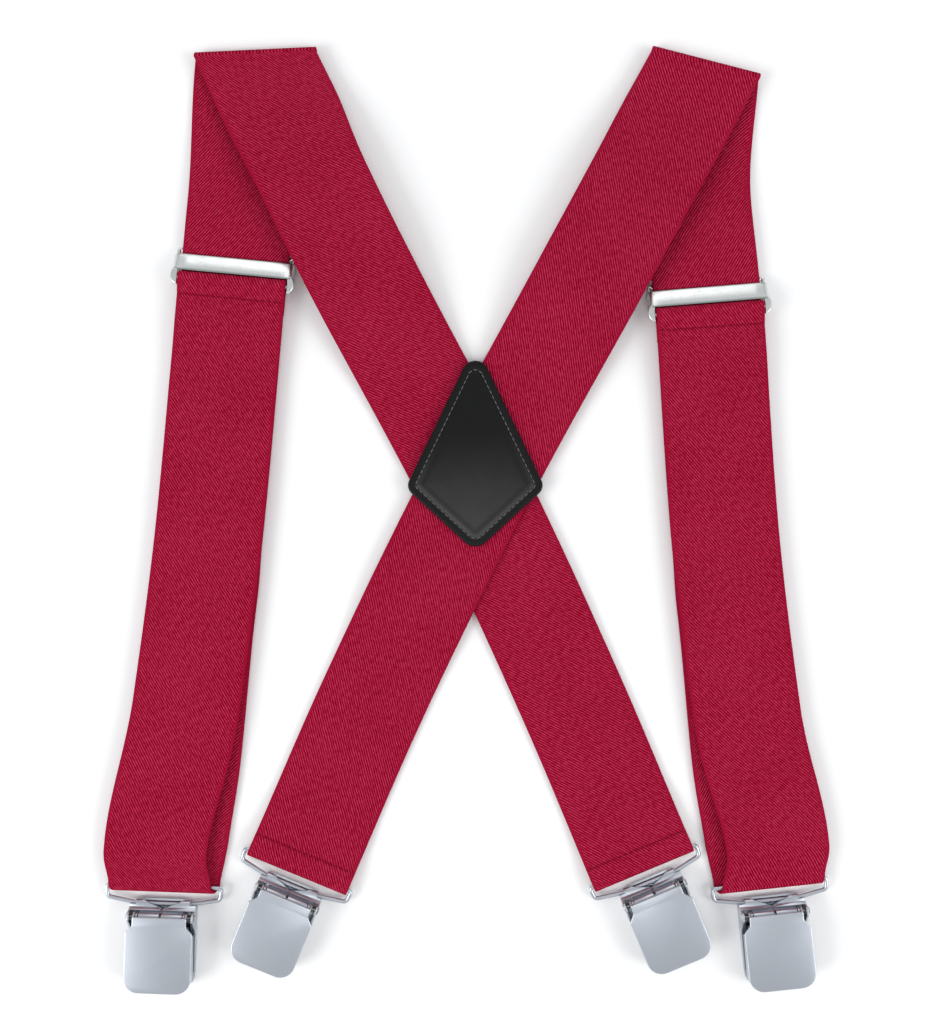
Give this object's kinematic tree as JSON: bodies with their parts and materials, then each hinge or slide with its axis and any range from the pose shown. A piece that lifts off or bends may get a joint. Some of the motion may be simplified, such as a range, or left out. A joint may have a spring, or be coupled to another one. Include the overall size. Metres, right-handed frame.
{
  "type": "suspenders",
  "caption": "X-back suspenders of wide twill elastic, laid flat, with slide adjusters, a leather crossing patch and lever clips on wire bails.",
  "frame": {"origin": "middle of the bounding box, on the surface that the suspenders lie on", "axes": "+X to the right, +Y up the straps from the clips to the shoulder folds, +Z out of the front face"},
  "size_m": [0.3374, 0.4392, 0.0106],
  "materials": {
    "webbing": "twill-woven elastic",
    "leather": "smooth black, slightly glossy",
    "nickel": "satin nickel plate",
    "bright_steel": "bright nickel plate",
    "rubber": "matt"
  },
  "bodies": {
    "root": {"left_shoulder_strap": "webbing", "right_shoulder_strap": "webbing", "left_front_strap": "webbing", "right_front_strap": "webbing", "patch_front": "leather", "patch_back": "leather"},
    "left_carrier": {"left_front_loop": "webbing", "left_return_strap": "webbing"},
    "left_slide": {"left_hem": "webbing", "left_slide_frame": "bright_steel", "left_slide_bar": "bright_steel"},
    "left_front_bail": {"left_front_bail": "nickel"},
    "left_front_clip": {"left_front_clip_body": "nickel", "left_front_body_pad": "rubber", "left_front_pivot_pin": "bright_steel"},
    "left_front_lever": {"left_front_lever": "nickel"},
    "left_front_jaw": {"left_front_jaw": "nickel", "left_front_jaw_pad": "rubber"},
    "left_back_bail": {"left_back_bail": "nickel"},
    "left_back_clip": {"left_back_clip_body": "nickel", "left_back_body_pad": "rubber", "left_back_pivot_pin": "bright_steel"},
    "left_back_lever": {"left_back_lever": "nickel"},
    "left_back_jaw": {"left_back_jaw": "nickel", "left_back_jaw_pad": "rubber"},
    "right_carrier": {"right_front_loop": "webbing", "right_return_strap": "webbing"},
    "right_slide": {"right_hem": "webbing", "right_slide_frame": "bright_steel", "right_slide_bar": "bright_steel"},
    "right_front_bail": {"right_front_bail": "nickel"},
    "right_front_clip": {"right_front_clip_body": "nickel", "right_front_body_pad": "rubber", "right_front_pivot_pin": "bright_steel"},
    "right_front_lever": {"right_front_lever": "nickel"},
    "right_front_jaw": {"right_front_jaw": "nickel", "right_front_jaw_pad": "rubber"},
    "right_back_bail": {"right_back_bail": "nickel"},
    "right_back_clip": {"right_back_clip_body": "nickel", "right_back_body_pad": "rubber", "right_back_pivot_pin": "bright_steel"},
    "right_back_lever": {"right_back_lever": "nickel"},
    "right_back_jaw": {"right_back_jaw": "nickel", "right_back_jaw_pad": "rubber"}
  },
  "joints": [
    {"name": "left_length", "type": "slide", "parent": "root", "child": "left_carrier", "axis": [-0.1139, -0.9935, 0], "range_m": [0, 0.05], "deforming": ["left_front_strap"]},
    {"name": "left_slide_along", "type": "slide", "parent": "left_carrier", "child": "left_slide", "axis": [-0.0662, -0.9978, 0], "range_m": [0, 0.05], "deforming": ["left_return_strap"]},
    {"name": "left_front_bail_swing", "type": "hinge", "parent": "left_carrier", "child": "left_front_bail", "pos_m": [-0.14103, -0.17211, 0.0029], "axis": [-0.9993, 0.0384, 0], "range_deg": [0, 50]},
    {"name": "left_front_clip_swing", "type": "hinge", "parent": "left_front_bail", "child": "left_front_clip", "pos_m": [-0.14135, -0.1803, 0.0022], "axis": [-0.9993, 0.0384, 0], "range_deg": [0, 40]},
    {"name": "left_front_lever", "type": "hinge", "parent": "left_front_clip", "child": "left_front_lever", "pos_m": [-0.14153, -0.1849, 0.0075], "axis": [-0.9993, 0.0384, 0], "range_deg": [0, 80]},
    {"name": "left_front_jaw", "type": "hinge", "parent": "left_front_clip", "child": "left_front_jaw", "pos_m": [-0.14153, -0.1849, 0.0075], "axis": [-0.9993, 0.0384, 0], "range_deg": [0, 10]},
    {"name": "left_back_bail_swing", "type": "hinge", "parent": "root", "child": "left_back_bail", "pos_m": [0.08197, -0.16278, 0.0029], "axis": [-0.9232, -0.3843, 0], "range_deg": [0, 50]},
    {"name": "left_back_clip_swing", "type": "hinge", "parent": "left_back_bail", "child": "left_back_clip", "pos_m": [0.08512, -0.17035, 0.0022], "axis": [-0.9232, -0.3843, 0], "range_deg": [0, 40]},
    {"name": "left_back_lever", "type": "hinge", "parent": "left_back_clip", "child": "left_back_lever", "pos_m": [0.08689, -0.1746, 0.0075], "axis": [-0.9232, -0.3843, 0], "range_deg": [0, 80]},
    {"name": "left_back_jaw", "type": "hinge", "parent": "left_back_clip", "child": "left_back_jaw", "pos_m": [0.08689, -0.1746, 0.0075], "axis": [-0.9232, -0.3843, 0], "range_deg": [0, 10]},
    {"name": "right_length", "type": "slide", "parent": "root", "child": "right_carrier", "axis": [0.1054, -0.9944, 0], "range_m": [0, 0.05], "deforming": ["right_front_strap"]},
    {"name": "right_slide_along", "type": "slide", "parent": "right_carrier", "child": "right_slide", "axis": [0.0295, -0.9996, 0], "range_m": [0, 0.05], "deforming": ["right_return_strap"]},
    {"name": "right_front_bail_swing", "type": "hinge", "parent": "right_carrier", "child": "right_front_bail", "pos_m": [0.14097, -0.1706, 0.0029], "axis": [-0.9943, -0.1063, 0], "range_deg": [0, 50]},
    {"name": "right_front_clip_swing", "type": "hinge", "parent": "right_front_bail", "child": "right_front_clip", "pos_m": [0.14184, -0.17875, 0.0022], "axis": [-0.9943, -0.1063, 0], "range_deg": [0, 40]},
    {"name": "right_front_lever", "type": "hinge", "parent": "right_front_clip", "child": "right_front_lever", "pos_m": [0.14233, -0.18332, 0.0075], "axis": [-0.9943, -0.1063, 0], "range_deg": [0, 80]},
    {"name": "right_front_jaw", "type": "hinge", "parent": "right_front_clip", "child": "right_front_jaw", "pos_m": [0.14233, -0.18332, 0.0075], "axis": [-0.9943, -0.1063, 0], "range_deg": [0, 10]},
    {"name": "right_back_bail_swing", "type": "hinge", "parent": "root", "child": "right_back_bail", "pos_m": [-0.07843, -0.1644, 0.0029], "axis": [-0.9252, 0.3795, 0], "range_deg": [0, 50]},
    {"name": "right_back_clip_swing", "type": "hinge", "parent": "right_back_bail", "child": "right_back_clip", "pos_m": [-0.08154, -0.17199, 0.0022], "axis": [-0.9252, 0.3795, 0], "range_deg": [0, 40]},
    {"name": "right_back_lever", "type": "hinge", "parent": "right_back_clip", "child": "right_back_lever", "pos_m": [-0.08329, -0.17625, 0.0075], "axis": [-0.9252, 0.3795, 0], "range_deg": [0, 80]},
    {"name": "right_back_jaw", "type": "hinge", "parent": "right_back_clip", "child": "right_back_jaw", "pos_m": [-0.08329, -0.17625, 0.0075], "axis": [-0.9252, 0.3795, 0], "range_deg": [0, 10]}
  ],
  "couplings": [
    {"joint": "left_slide_along", "follows": "left_length", "ratio": 1},
    {"joint": "left_front_jaw", "follows": "left_front_lever", "ratio": 0.125},
    {"joint": "left_back_jaw", "follows": "left_back_lever", "ratio": 0.125},
    {"joint": "right_slide_along", "follows": "right_length", "ratio": 1},
    {"joint": "right_front_jaw", "follows": "right_front_lever", "ratio": 0.125},
    {"joint": "right_back_jaw", "follows": "right_back_lever", "ratio": 0.125}
  ]
}
